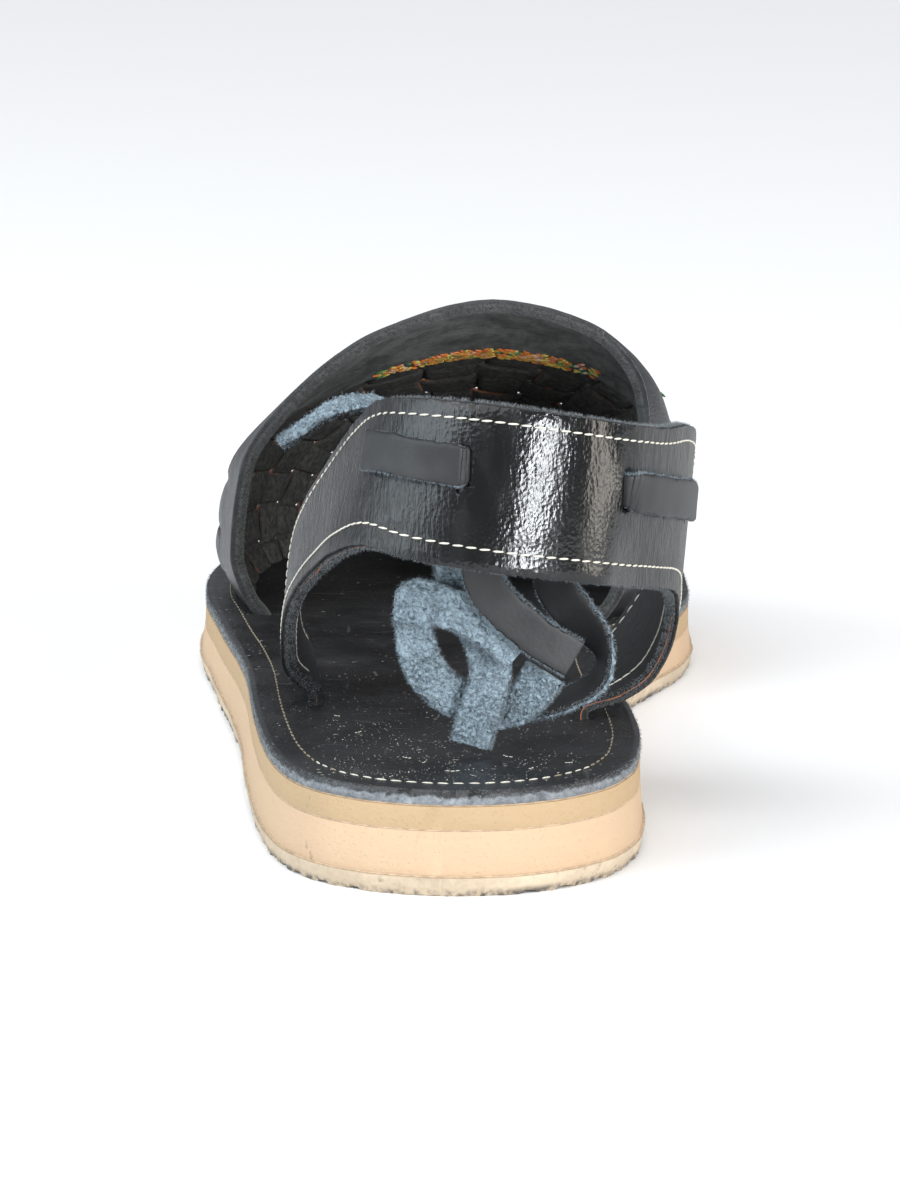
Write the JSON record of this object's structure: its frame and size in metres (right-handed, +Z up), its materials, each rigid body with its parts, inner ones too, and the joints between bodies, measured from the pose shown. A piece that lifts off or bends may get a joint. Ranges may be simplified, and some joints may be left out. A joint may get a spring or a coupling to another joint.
{
  "type": "woven leather huarache sandal",
  "caption": "Left woven leather sandal with a closed toe, an open heel, a knotted heel strap and a flat layered rubber and foam sole.",
  "frame": {"origin": "On the ground, under the middle of the sandal's bounding box.", "axes": "+Y runs from the heel to the toe, +X to the medial side (a left sandal), +Z up."},
  "size_m": [0.0956, 0.2522, 0.0771],
  "materials": {
    "outsole_rubber": "matte, worn",
    "light_foam": "matte foam",
    "tan_foam": "matte foam",
    "footbed_leather": "semi-gloss, worn",
    "vamp_leather": "semi-gloss",
    "strap_leather": "glossy",
    "thong_leather": "smooth face, suede back"
  },
  "bodies": {
    "root": {"outsole": "outsole_rubber", "midsole_wedge": "light_foam", "midsole_top_layer": "tan_foam", "footbed": "footbed_leather", "vamp": "vamp_leather", "heel_strap": "strap_leather", "lace_bar_left": "thong_leather", "lace_bar_right": "thong_leather", "lace_end_front": "thong_leather", "lace_end_smooth": "thong_leather", "lace_loop_left": "thong_leather", "lace_end_down": "thong_leather", "lace_loop_right": "thong_leather"}
  },
  "joints": []
}
